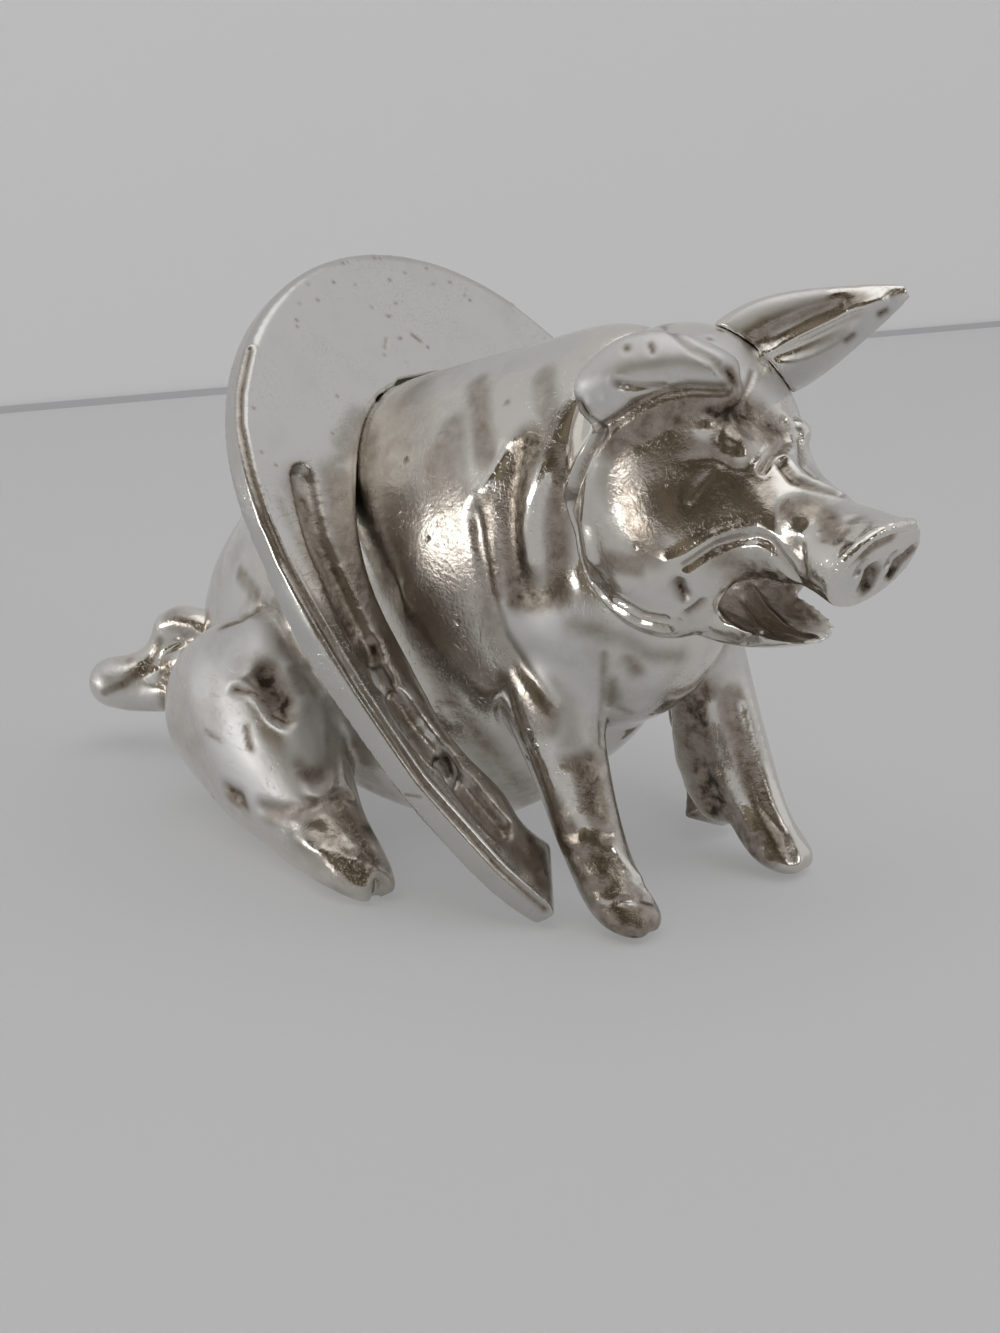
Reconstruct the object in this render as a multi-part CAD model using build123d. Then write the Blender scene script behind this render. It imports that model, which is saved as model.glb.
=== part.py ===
from build123d import *
from math import atan2, cos, degrees, radians, sin
import os

# Silver pig that sits inside a leaning horseshoe. The pig faces +X and stands on z = 0.
# Sizes are in millimetres and angles in degrees.

# Ground point under the middle of the shoe's arch. The other places are counted from here.
arch_forward = -1.285
arch_aside = 0

# Horseshoe: a flat bar with a round arch and branches that close towards the heels
shoe_radius = 15.0
shoe_length = 38.6
shoe_thickness = 1.8
shoe_lean = 54.3
shoe_arch_height = 20.1
shoe_edge_round = 0.4
arch_web = 8.2
right_heel_web = 4.2
right_heel_spread = 8.6
right_heel_slant = 3.6
left_heel_web = 5.6
left_heel_spread = 8.2
left_heel_slant = 1.6
fuller_width = 1.35
fuller_depth = 0.55
nail_hole_length = 1.9
nail_hole_width = 1.1

# Torso: a deep barrel from the rump up to the neck
body_length = 30.0
body_width = 16.8
body_depth = 23.6
body_aside = -0.8
breast_length = 13.2
breast_width = 13.6
breast_depth = 14.4

# Head: skull, cheeks and a snout that ends in a flat disc
head_length = 16.5
head_width = 12.0
head_height = 12.8
head_aside = -0.8
head_turn = -8.0
nape_sink = 1.0
nape_drop = 0.2
cheek_length = 10.0
cheek_width = 7.6
cheek_height = 10.4
disc_width = 5.8
disc_height = 5.0
nostril_width = 0.7
nostril_height = 1.0
nostril_depth = 0.8
mouth_length = 8.2
mouth_width = 6.4
mouth_height = 3.2
jaw_width = 5.8
jaw_height = 4.4
eye_width = 1.7

# Ears: the right one lies back against the neck, the left one is pricked forward
ear_thickness = 2.3
right_ear_length = 7.6
right_ear_breadth = 5.5
right_ear_turn = -146
right_ear_tilt = -8
left_ear_length = 10.7
left_ear_breadth = 4.9
left_ear_turn = 29
left_ear_tilt = 25
ear_channel_depth = 0.8

# Legs
foreleg_girth = 3.5
shoulder_drop = 1.8
right_fore_reach = 7.1
right_fore_inset = 3.1
left_fore_reach = 8.8
left_fore_inset = 2.0
haunch_thickness = 8.8
haunch_girth = 12.6
haunch_inset = 0.4
right_hind_reach = 13.6
right_hind_splay = 3.7
left_hind_reach = 10.4
left_hind_splay = 2.4
cleft_width = 0.5
cleft_depth = 0.9

# Tail: a thick wire in one curl
tail_length = 10.0
tail_thickness = 2.6

overrun = shoe_thickness


def place(forward, aside, up):
    """A point counted from the ground under the middle of the arch."""
    return Vector(arch_forward + forward, arch_aside + aside, up)


def heading(turn, tilt):
    """The way that a form runs, turned from +X and tilted up from the ground."""
    level = cos(radians(tilt))
    return Vector(cos(radians(turn)) * level, sin(radians(turn)) * level, sin(radians(tilt)))


def oval(middle, turn, tilt, width, height):
    """One oval cross-section, square to the way that a form runs there."""
    across = Vector(-sin(radians(turn)), cos(radians(turn)), 0)
    return Plane(origin=middle, x_dir=across, z_dir=heading(turn, tilt)) * Ellipse(width / 2, height / 2)


def egg(middle, length, width, height, turn=0, tilt=0):
    """A rounded mass with three different axes."""
    ball = scale(Sphere(1), by=(length / 2, width / 2, height / 2))
    return Pos(middle) * Rot(0, 0, turn) * Rot(0, -tilt, 0) * ball


def largest(shape):
    """The largest solid of a cut, without the loose crumbs that a grazing cut can leave."""
    return max(shape.solids(), key=lambda piece: piece.volume)


def sole_cut(shape):
    """Flat sole on the ground."""
    span = shoe_length * 2
    return shape - Pos(0, 0, -span / 2) * Box(span, span, span)


# Horseshoe
# Half outline of a branch: shares of its length to the heel, and shares of the radius across
outer_branch_shares = [(0.076, 1.01), (0.273, 1.005), (0.451, 0.95), (0.604, 0.893), (0.763, 0.8)]
inner_branch_shares = [
    (-0.076, 0.515),
    (0.006, 0.59),
    (0.203, 0.675),
    (0.362, 0.668),
    (0.585, 0.62),
    (0.706, 0.53),
]
# Middle line of the three grooves in a branch, and the two nail holes between them
fuller_shares = [
    [
        (-0.114, 0.755), (-0.038, 0.795), (0.035, 0.822), (0.108, 0.83),
        (0.181, 0.834), (0.267, 0.833), (0.318, 0.831),
    ],
    [(0.432, 0.812), (0.483, 0.795), (0.529, 0.777), (0.572, 0.752)],
    [(0.648, 0.708), (0.699, 0.685), (0.772, 0.64)],
]
nail_shares = [(0.369, 0.824), (0.613, 0.728)]


def branch_point(along, wide, side):
    return Vector(side * wide * shoe_radius, -along * (shoe_length - shoe_radius), 0)


def half_outline(side, spread, web, slant):
    """Half of the shoe's outline, from the widest place round the heel to the top of the opening."""
    heel = shoe_length - shoe_radius
    outer_heel = (side * spread, -heel)
    inner_heel = (side * (spread - web / 2), slant - heel)
    outer = Spline(
        (side * shoe_radius, 0),
        *[branch_point(along, wide, side) for along, wide in outer_branch_shares],
        outer_heel,
        tangents=[(0, -1), (-side, -1)],
    )
    inner = Spline(
        (0, shoe_radius - arch_web),
        *[branch_point(along, wide, side) for along, wide in inner_branch_shares],
        inner_heel,
        tangents=[(side, 0), (-side, -1)],
    )
    return [outer, Line(outer_heel, inner_heel), inner]


def shoe_outline():
    arch = ThreePointArc((shoe_radius, 0), (0, shoe_radius), (-shoe_radius, 0))
    left = half_outline(1, left_heel_spread, left_heel_web, left_heel_slant)
    right = half_outline(-1, right_heel_spread, right_heel_web, right_heel_slant)
    return make_face([arch] + left + right)


def fuller(shares, side):
    """A groove with round ends, sunk into the face of one branch along its bend."""
    spots = [branch_point(along, wide, side) for along, wide in shares]
    groove = []
    for start, end in zip(spots, spots[1:]):
        run = end - start
        slot = SlotCenterToCenter(run.length, fuller_width, rotation=degrees(atan2(run.Y, run.X)))
        groove.append(Pos((start + end) / 2) * slot)
    return extrude(Pos(0, 0, -fuller_depth) * Sketch(children=groove), fuller_depth + overrun)


def nail_hole(along, wide, side):
    hole = Ellipse(nail_hole_width / 2, nail_hole_length / 2)
    spot = Pos(branch_point(along, wide, side)) * Pos(0, 0, -shoe_thickness - overrun)
    return extrude(spot * hole, shoe_thickness + 2 * overrun)


def horseshoe():
    bar = extrude(shoe_outline(), -shoe_thickness)
    face_edges = bar.faces().sort_by(Axis.Z)[-1].edges()
    bar = fillet(face_edges, shoe_edge_round)
    for side in (-1, 1):
        for shares in fuller_shares:
            bar -= fuller(shares, side)
        for along, wide in nail_shares:
            bar -= nail_hole(along, wide, side)
    face_up = (sin(radians(shoe_lean)), 0, cos(radians(shoe_lean)))
    return Plane(origin=place(0, 0, shoe_arch_height), x_dir=(0, 1, 0), z_dir=face_up) * bar


# Torso
# Stations from rump to neck: forward, up, tilt, width and depth
torso_shares = [
    (-0.592, 0.158, 57, 0.26, 0.19),
    (-0.545, 0.195, 50, 0.55, 0.42),
    (-0.460, 0.245, 43, 0.76, 0.64),
    (-0.325, 0.290, 39, 0.91, 0.88),
    (-0.170, 0.358, 36, 0.98, 1.04),
    (0.028, 0.480, 32, 1.0, 1.05),
    (0.230, 0.587, 24, 0.93, 0.94),
    (0.354, 0.685, 14, 0.82, 0.80),
    (0.433, 0.770, 5, 0.68, 0.60),
]
breast_share = (0.35, 0.533)
neck_share = (0.433, 0.770)


def torso():
    """The barrel of the body, and the breast that hangs between the forelegs."""
    stations = []
    for forward, up, tilt, wide, deep in torso_shares:
        middle = place(forward * body_length, body_aside, up * body_length)
        stations.append(oval(middle, 0, tilt, wide * body_width, deep * body_depth))
    forward, up = breast_share
    middle = place(forward * body_length, body_aside, up * body_length)
    return loft(stations) + egg(middle, breast_length, breast_width, breast_depth)


# Head
# Stations from nape to snout: along, up, tilt, width and height
skull_shares = [
    (-0.06, 0.02, 0, 0.45, 0.55),
    (0.02, 0.05, 0, 0.76, 0.88),
    (0.18, 0.08, 0, 1.0, 1.08),
    (0.36, 0.070, -5, 0.96, 1.04),
    (0.52, -0.005, -12, 0.70, 0.71),
    (0.67, -0.060, -14, 0.50, 0.46),
    (0.82, -0.085, -20, 0.40, 0.34),
]
cheek_share = (0.33, 0.20, -0.13)
disc_shares = [
    (0.82, -0.075, -20, 0.82, 0.88),
    (0.94, -0.098, -25, 0.97, 0.95),
    (0.99, -0.112, -27, 1.0, 1.0),
]
nostril_share = (0.99, 0.09, -0.105)
eye_share = (0.565, 0.175, 0.25)
mouth_share = (0.69, -0.335)
jaw_shares = [
    (0.42, -0.38, -12, 1.0, 1.0),
    (0.62, -0.40, -4, 0.95, 0.75),
    (0.81, -0.355, 14, 0.76, 0.52),
    (0.91, -0.315, 22, 0.52, 0.32),
]


def head_place(along, aside, up):
    """A point in shares of the head, counted from the nape along the way that the pig looks."""
    neck_forward, neck_up = neck_share
    forward = along * head_length
    left = aside * head_width
    turn = radians(head_turn)
    return place(
        neck_forward * body_length - nape_sink + forward * cos(turn) - left * sin(turn),
        body_aside + head_aside + forward * sin(turn) + left * cos(turn),
        neck_up * body_length - nape_drop + up * head_height,
    )


def head_station(row, width, height):
    along, up, tilt, wide, high = row
    return oval(head_place(along, 0, up), head_turn, tilt, wide * width, high * height)


def mouth_hollow():
    along, up = mouth_share
    return egg(head_place(along, 0, up), mouth_length, mouth_width, mouth_height, head_turn)


def head():
    skull = loft([head_station(row, head_width, head_height) for row in skull_shares])
    snout = loft([head_station(row, disc_width, disc_height) for row in disc_shares])
    shape = skull + snout
    for side in (-1, 1):
        along, aside, up = cheek_share
        cheek = egg(head_place(along, side * aside, up), cheek_length, cheek_width, cheek_height, head_turn)
        along, aside, up = eye_share
        eye = egg(head_place(along, side * aside, up), eye_width, eye_width, eye_width)
        along, aside, up = nostril_share
        spot = head_place(along, side * aside, up)
        nostril = egg(spot, 2 * nostril_depth, nostril_width, nostril_height, head_turn)
        shape = shape + cheek + eye - nostril
    return shape - mouth_hollow()


def lower_jaw():
    scoop = loft([head_station(row, jaw_width, jaw_height) for row in jaw_shares])
    return scoop - mouth_hollow()


# Ears
# Stations from root to tip: along, breadth and thickness
lobe_shares = [
    (0.0, 0.35, 0.7),
    (0.2, 0.75, 1.0),
    (0.45, 1.0, 1.0),
    (0.7, 0.95, 0.9),
    (0.88, 0.66, 0.66),
    (1.0, 0.3, 0.34),
]
leaf_shares = [
    (0.0, 0.55, 0.75),
    (0.18, 0.92, 1.0),
    (0.38, 1.0, 0.9),
    (0.63, 0.76, 0.7),
    (0.85, 0.42, 0.45),
    (1.0, 0.14, 0.18),
]
right_ear_share = (0.55, -0.13, 0.48)
left_ear_share = (0.242, 0.086, 0.41)
channel_share = 0.605


def ear(shares, root, length, breadth, turn, tilt):
    """A flap that stands on edge."""
    rows = []
    for along, wide, thick in shares:
        middle = root + heading(turn, tilt) * (along * length)
        rows.append(oval(middle, turn, tilt, thick * ear_thickness, wide * breadth))
    return loft(rows)


def ear_channel(root, length, breadth, turn, tilt):
    """The shallow channel along the side of the pricked ear that faces forward."""
    outward = heading(turn - 90, 0) * (ear_thickness / 2)
    middle = root + heading(turn, tilt) * (channel_share * length) + outward
    return egg(middle, length - breadth, 2 * ear_channel_depth, breadth / 2, turn, tilt)


# Legs
# Stations from shoulder to trotter: back from the tip, inward, up, tilt, width and depth
foreleg_shares = [
    (-0.60, 0.36, 1.48, -80, 0.90, 1.10),
    (-0.60, 0.28, 1.30, -78, 1.70, 2.10),
    (-0.575, 0.17, 1.02, -74, 1.90, 2.30),
    (-0.480, 0.04, 0.76, -74, 1.42, 1.60),
    (-0.370, 0.01, 0.545, -70, 1.08, 1.24),
    (-0.295, 0.0, 0.385, -65, 0.98, 1.10),
    (-0.215, 0.0, 0.225, -60, 0.92, 1.0),
    (-0.113, 0.0, 0.099, -40, 0.97, 0.83),
    (0.0, 0.0, 0.06, -10, 0.77, 0.48),
    (0.035, 0.0, 0.055, 0, 0.45, 0.28),
]
haunch_share = -0.30
# Stations from rump to hind trotter: along the reach, along the splay, up, tilt, width and depth
hind_leg_shares = [
    (-0.40, 0.0, 0.58, -12, 0.25, 0.25),
    (-0.345, 0.0, 0.57, -12, 0.57, 0.565),
    (-0.20, 0.0, 0.55, -14, 0.86, 0.86),
    (0.0, 0.02, 0.53, -18, 1.0, 1.02),
    (0.20, 0.22, 0.425, -22, 0.95, 0.92),
    (0.375, 0.47, 0.32, -24, 0.77, 0.70),
    (0.545, 0.66, 0.225, -22, 0.60, 0.53),
    (0.757, 0.88, 0.15, -18, 0.48, 0.34),
    (0.92, 0.98, 0.10, -10, 0.38, 0.21),
    (1.0, 1.0, 0.06, 0, 0.22, 0.11),
]


def cleft(toe, turn):
    """The split between the two toes of a trotter."""
    return Pos(toe) * Rot(0, 0, turn) * Box(2 * cleft_depth, cleft_width, foreleg_girth)


def foreleg(side, reach, inset):
    """A straight leg from the breast to a foot set out in front of it."""
    breast_forward, breast_up = breast_share
    forward = breast_forward * body_length + reach
    aside = body_aside + side * (body_width / 2 - inset)
    length = breast_up * body_length - shoulder_drop
    rows = []
    for back, inward, up, tilt, wide, deep in foreleg_shares:
        spot = place(forward + back * length, aside - side * inward * length, up * length)
        rows.append(oval(spot, 0, tilt, wide * foreleg_girth, deep * foreleg_girth))
    return sole_cut(loft(rows)) - cleft(place(forward, aside, 0), 0)


def hind_leg(side, reach, splay):
    """The round haunch and the short leg that lies along the ground in front of it."""
    turn = side * degrees(atan2(splay, reach))
    hip_forward = haunch_share * body_length
    hip_aside = body_width / 2 - haunch_inset
    rows = []
    for along, outward, up, tilt, wide, deep in hind_leg_shares:
        aside = body_aside + side * (hip_aside + outward * splay)
        middle = place(hip_forward + along * reach, aside, up * haunch_girth)
        rows.append(oval(middle, turn, tilt, wide * haunch_thickness, deep * haunch_girth))
    toe = place(hip_forward + reach, body_aside + side * (hip_aside + splay), 0)
    return sole_cut(loft(rows)) - cleft(toe, turn)


# Tail
# Its root in the rump: forward and up in shares of the body's length, and aside of its width
tail_root_share = (-0.5, -0.19, 0.18)
# Its curl: forward, aside and up, as shares of its own length
tail_shares = [
    (0.0, 0.0, 0.0),
    (-0.544, -0.300, -0.057),
    (-0.646, -0.477, -0.035),
    (-1.036, -0.353, -0.092),
    (-1.043, -0.246, -0.047),
    (-0.810, -0.152, 0.126),
    (-0.452, 0.0, 0.341),
]


def tail():
    root_forward, root_aside, root_up = tail_root_share
    root_aside = body_aside + root_aside * body_width
    spots = []
    for forward, aside, up in tail_shares:
        spots.append(
            place(
                root_forward * body_length + forward * tail_length,
                root_aside + aside * tail_length,
                root_up * body_length + up * tail_length,
            )
        )
    path = Spline(*spots)
    wire = Plane(origin=path @ 0, z_dir=path % 0) * Circle(tail_thickness / 2)
    return sweep(wire, path=path)


shoe = horseshoe()
trunk = torso() - shoe
skull = head() - trunk
right_hind = hind_leg(-1, right_hind_reach, right_hind_splay) - trunk
right_root = head_place(*right_ear_share)
right_ear = ear(lobe_shares, right_root, right_ear_length, right_ear_breadth, right_ear_turn, right_ear_tilt)
left_root = head_place(*left_ear_share)
left_ear = ear(leaf_shares, left_root, left_ear_length, left_ear_breadth, left_ear_turn, left_ear_tilt)
left_ear -= ear_channel(left_root, left_ear_length, left_ear_breadth, left_ear_turn, left_ear_tilt)
pieces = {
    "horseshoe": sole_cut(shoe),
    "torso": sole_cut(trunk),
    "head": skull,
    "lower_jaw": lower_jaw() - skull - trunk,
    "right_ear": right_ear - skull - trunk,
    "left_ear": left_ear - skull - trunk,
    "right_foreleg": foreleg(-1, right_fore_reach, right_fore_inset) - trunk - shoe,
    "left_foreleg": foreleg(1, left_fore_reach, left_fore_inset) - trunk - shoe,
    "right_hind_leg": right_hind,
    "left_hind_leg": hind_leg(1, left_hind_reach, left_hind_splay) - trunk,
    "tail": tail() - trunk - right_hind,
}

os.makedirs("parts", exist_ok=True)
for name, piece in pieces.items():
    export_step(largest(piece), f"parts/{name}.step")
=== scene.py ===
import math

import bpy
import numpy as np
from mathutils import Euler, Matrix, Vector, noise
from mathutils.bvhtree import BVHTree


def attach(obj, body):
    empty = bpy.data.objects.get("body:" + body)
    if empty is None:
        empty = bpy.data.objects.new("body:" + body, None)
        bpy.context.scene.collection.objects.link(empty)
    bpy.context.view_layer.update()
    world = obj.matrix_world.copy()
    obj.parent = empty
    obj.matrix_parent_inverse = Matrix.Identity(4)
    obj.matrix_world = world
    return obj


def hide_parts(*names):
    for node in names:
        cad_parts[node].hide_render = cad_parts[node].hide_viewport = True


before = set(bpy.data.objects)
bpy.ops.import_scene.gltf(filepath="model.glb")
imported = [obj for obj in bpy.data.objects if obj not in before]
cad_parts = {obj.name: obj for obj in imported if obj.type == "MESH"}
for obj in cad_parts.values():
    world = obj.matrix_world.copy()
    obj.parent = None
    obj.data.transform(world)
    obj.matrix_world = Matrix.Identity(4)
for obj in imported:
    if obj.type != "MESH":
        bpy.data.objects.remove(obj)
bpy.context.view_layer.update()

scene = bpy.context.scene
scene.view_settings.view_transform = "Standard"

# Camera
# A close view of the figurine from its front right, a little above its back.
# Places on the silver are read off the photograph later by casting through this camera.
camera_place = Vector((0.067375, -0.07512, 0.04430))
camera_turn = Euler((math.radians(71), 0, math.radians(41.554)))
photo_width, photo_height, photo_focus = 1000, 1333, 1850.3
sensor_width = 36
bpy.ops.object.camera_add(location=camera_place, rotation=camera_turn)
camera = bpy.context.object
camera.name = "photo_camera"
camera.data.sensor_width = sensor_width
camera.data.lens = sensor_width * photo_focus / photo_height
camera.data.clip_start = 0.005
camera.data.clip_end = 10
scene.camera = camera


def photo_ray(across, down):
    """The way from the camera through one place in the photograph."""
    ray = Vector(((across - photo_width / 2) / photo_focus, (photo_height / 2 - down) / photo_focus, -1))
    return (camera_turn.to_matrix() @ ray).normalized()


# Table and wall
# A matt pale grey sheet that the pig stands on, and the same sheet standing up behind it.
# The fold between them is where the photograph shows it, and a darker strip along it is painted shade in
# the crease.
def ground_place(across, down):
    ray = photo_ray(across, down)
    return camera_place - ray * (camera_place.z / ray.z)


fold_left = ground_place(0, 413)
fold_right = ground_place(1000, 326)
fold_way = (fold_right - fold_left).normalized()
fold_middle = (fold_left + fold_right) / 2
sheet_turn = math.atan2(fold_way.y, fold_way.x)
toward_back = Vector((-fold_way.y, fold_way.x, 0))
sheet_size = 3.0
fold_height, fold_lift = 0.0010, 0.0004


def matt_paint(name, colour, glow):
    """A matt paint. Only the camera and reflections see its glow, and the pig's shadow falls on it."""
    paint = bpy.data.materials.new(name)
    paint.use_nodes = True
    nodes = paint.node_tree.nodes
    surface = nodes["Principled BSDF"]
    surface.inputs["Base Color"].default_value = (*colour, 1)
    surface.inputs["Roughness"].default_value = 0.8
    surface.inputs["Specular IOR Level"].default_value = 0.2
    surface.inputs["Emission Color"].default_value = (*glow, 1)
    seen = nodes.new("ShaderNodeLightPath")
    total = seen.outputs["Is Camera Ray"]
    for ray in ("Is Glossy Ray", "Is Transmission Ray"):
        more = nodes.new("ShaderNodeMath")
        more.operation = "MAXIMUM"
        paint.node_tree.links.new(total, more.inputs[0])
        paint.node_tree.links.new(seen.outputs[ray], more.inputs[1])
        total = more.outputs[0]
    paint.node_tree.links.new(total, surface.inputs["Emission Strength"])
    return paint


bpy.ops.mesh.primitive_plane_add(size=sheet_size, location=(0, 0, 0), rotation=(0, 0, sheet_turn))
table = bpy.context.object
table.name = "table"
table.location = fold_middle - toward_back * (sheet_size / 2)
# Table and wall are one sheet, but the upright part gets a lighter paint and glow: painted light standing
# in for how differently the two parts are lit.
table.data.materials.append(matt_paint("table_paint", (0.45, 0.45, 0.455), (0.212, 0.214, 0.218)))
bpy.ops.mesh.primitive_plane_add(size=sheet_size, location=fold_middle + Vector((0, 0, sheet_size / 2)),
                                 rotation=(math.radians(90), 0, sheet_turn))
wall = bpy.context.object
wall.name = "wall"
wall.data.materials.append(matt_paint("wall_paint_painted_lighter", (0.68, 0.682, 0.69), (0.245, 0.249, 0.256)))
# A darker strip along the fold is painted shade in the crease between table and wall.
fold_place = fold_middle - toward_back * (fold_height / 2) + Vector((0, 0, fold_lift))
bpy.ops.mesh.primitive_plane_add(size=1, location=fold_place, rotation=(math.radians(90), 0, sheet_turn))
bpy.ops.transform.resize(value=(sheet_size, 1, fold_height))
fold = bpy.context.object
fold.name = "fold"
fold.data.materials.append(matt_paint("fold_shade_paint", (0.40, 0.405, 0.42), (0.17, 0.172, 0.18)))

# Light
# A pale room, with a dark brown part behind the camera from the table's height up to the ceiling.
# Polished silver shows mostly this room. Soft boxes stand above, to the left and to the right.
room = bpy.data.worlds.new("room")
scene.world = room
room.use_nodes = True
kinds = room.node_tree.nodes
wires = room.node_tree.links
behind_camera_east, behind_camera_north = 0.663, -0.748


def room_math(kind, first, second, third=None):
    step = kinds.new("ShaderNodeMath")
    step.operation = kind
    for place, value in enumerate((first, second, third)):
        if isinstance(value, float):
            step.inputs[place].default_value = value
        elif value is not None:
            wires.new(value, step.inputs[place])
    return step.outputs[0]


def room_step(value, low, high):
    step = kinds.new("ShaderNodeMapRange")
    step.interpolation_type = "SMOOTHSTEP"
    step.inputs["From Min"].default_value = low
    step.inputs["From Max"].default_value = high
    wires.new(value, step.inputs["Value"])
    return step.outputs["Result"]


way = kinds.new("ShaderNodeTexCoord").outputs["Generated"]
parts_of_way = kinds.new("ShaderNodeSeparateXYZ")
wires.new(way, parts_of_way.inputs[0])
east, north, up = parts_of_way.outputs
furniture = kinds.new("ShaderNodeTexNoise")
furniture.inputs["Scale"].default_value = 2.6
furniture.inputs["Detail"].default_value = 3.0
wires.new(way, furniture.inputs["Vector"])
# Clutter makes the edges of the dark part uneven
clutter = room_math("MULTIPLY_ADD", furniture.outputs["Fac"], 0.5, -0.25)
behind = room_math("ADD", room_math("MULTIPLY", east, behind_camera_east),
                   room_math("MULTIPLY", north, behind_camera_north))
behind = room_step(room_math("ADD", behind, clutter), 0.10, 0.42)
over_table = room_step(room_math("ADD", up, clutter), 0.02, 0.14)
under_ceiling = room_step(room_math("ADD", up, clutter), 0.94, 0.80)
dark_part = room_math("MULTIPLY", behind, room_math("MULTIPLY", over_table, under_ceiling))
tone = kinds.new("ShaderNodeValToRGB")
tone.color_ramp.elements[0].position = 0.35
tone.color_ramp.elements[0].color = (0.022, 0.017, 0.011, 1)
tone.color_ramp.elements[1].position = 0.68
tone.color_ramp.elements[1].color = (0.23, 0.19, 0.14, 1)
wires.new(furniture.outputs["Fac"], tone.inputs["Fac"])
walls = kinds.new("ShaderNodeMix")
walls.data_type = "RGBA"
walls.inputs["A"].default_value = (0.62, 0.62, 0.63, 1)
wires.new(dark_part, walls.inputs["Factor"])
wires.new(tone.outputs["Color"], walls.inputs["B"])
wires.new(walls.outputs["Result"], kinds["Background"].inputs["Color"])
kinds["Background"].inputs["Strength"].default_value = 1.05


def soft_box(name, place, aim, width, height, watts, colour):
    bpy.ops.object.light_add(type="AREA", location=place)
    lamp = bpy.context.object
    lamp.name = name
    lamp.rotation_euler = (Vector(aim) - Vector(place)).to_track_quat("-Z", "Y").to_euler()
    lamp.data.shape = "RECTANGLE"
    lamp.data.size = width
    lamp.data.size_y = height
    lamp.data.energy = watts
    lamp.data.color = colour


warm_white, cool_white = (1.0, 0.99, 0.97), (0.97, 0.98, 1.0)
soft_box("box_above", (0.02, -0.05, 0.75), (0, 0, 0.01),
         width=0.95, height=0.95, watts=1.6, colour=warm_white)
soft_box("box_low_left", (-0.24, -0.36, 0.05), (0, 0, 0.03),
         width=0.30, height=0.045, watts=0.42, colour=warm_white)
soft_box("box_right", (0.46, 0.05, 0.22), (0, 0, 0.02),
         width=0.16, height=0.16, watts=0.15, colour=cool_white)


# Pig's body
# One silver casting: the trunk that fills the shoe, the haunches and the four legs.
# The solids are grown together as one skin, then smoothed and chased.
def select_only(piece):
    bpy.ops.object.select_all(action="DESELECT")
    piece.select_set(True)
    bpy.context.view_layer.objects.active = piece


def copy_of(node):
    """A copy of a solid's surface with its loose triangles merged."""
    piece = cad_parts[node].copy()
    piece.data = piece.data.copy()
    piece.parent = None
    for key in list(piece.keys()):
        del piece[key]
    scene.collection.objects.link(piece)
    select_only(piece)
    bpy.ops.object.mode_set(mode="EDIT")
    bpy.ops.mesh.select_all(action="SELECT")
    bpy.ops.mesh.remove_doubles(threshold=0.000002)
    bpy.ops.object.mode_set(mode="OBJECT")
    return piece


def finish_modifier(piece, kind, **settings):
    modifier = piece.modifiers.new(kind.lower(), kind)
    for key, value in settings.items():
        setattr(modifier, key, value)
    select_only(piece)
    bpy.ops.object.modifier_apply(modifier=modifier.name)


def join(pieces, name):
    bpy.ops.object.select_all(action="DESELECT")
    for piece in pieces:
        piece.select_set(True)
    bpy.context.view_layer.objects.active = pieces[0]
    bpy.ops.object.join()
    pieces[0].name = name
    pieces[0].data.name = name
    return pieces[0]


def grown_skin(pieces, name, grain):
    """One even skin over one solid or several."""
    skin = join(pieces, name)
    finish_modifier(skin, "REMESH", mode="VOXEL", voxel_size=grain, adaptivity=0)
    return skin


def points_of(piece):
    spots = np.empty(len(piece.data.vertices) * 3)
    piece.data.vertices.foreach_get("co", spots)
    return spots.reshape(-1, 3)


def normals_of(piece):
    facing = np.empty(len(piece.data.vertices) * 3)
    piece.data.vertex_normals.foreach_get("vector", facing)
    return facing.reshape(-1, 3)


def set_points(piece, spots):
    piece.data.vertices.foreach_set("co", spots.ravel())
    piece.data.update()


def relax(piece, rounds, amount=None):
    """Evens out the skin. amount is a share from 0 to 1 at each point."""
    edges = np.empty(len(piece.data.edges) * 2, dtype=np.int64)
    piece.data.edges.foreach_get("vertices", edges)
    first, second = edges.reshape(-1, 2).T
    count = np.bincount(first, minlength=len(piece.data.vertices))
    count = count + np.bincount(second, minlength=len(piece.data.vertices))
    spots = points_of(piece)
    share = 0.5 if amount is None else 0.5 * amount[:, None]
    for step in range(rounds):
        total = np.zeros_like(spots)
        for axis in range(3):
            total[:, axis] = np.bincount(first, spots[second, axis], len(spots))
            total[:, axis] += np.bincount(second, spots[first, axis], len(spots))
        spots += share * (total / count[:, None] - spots)
    set_points(piece, spots)


def ball(place, radius):
    bpy.ops.mesh.primitive_ico_sphere_add(subdivisions=3, radius=radius, location=place)
    bpy.ops.object.transform_apply(location=True, rotation=True, scale=True)
    return bpy.context.object


def near_line(spots, line, reach):
    """The points near a bent line, and how far each is from it."""
    line = np.array(line)
    inside = (spots > line.min(axis=0) - reach) & (spots < line.max(axis=0) + reach)
    near = np.flatnonzero(inside.all(axis=1))
    close = spots[near]
    away = np.linalg.norm(close - line[0], axis=1)
    for start, end in zip(line, line[1:]):
        run = end - start
        share = np.clip((close - start) @ run / max(run @ run, 1e-12), 0, 1)
        away = np.minimum(away, np.linalg.norm(close - start - share[:, None] * run, axis=1))
    return near, away


def layer_of(piece, name):
    layer = piece.data.attributes.get(name)
    if layer is None:
        layer = piece.data.attributes.new(name, "FLOAT", "POINT")
    values = np.zeros(len(piece.data.vertices))
    layer.data.foreach_get("value", values)
    return values


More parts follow.
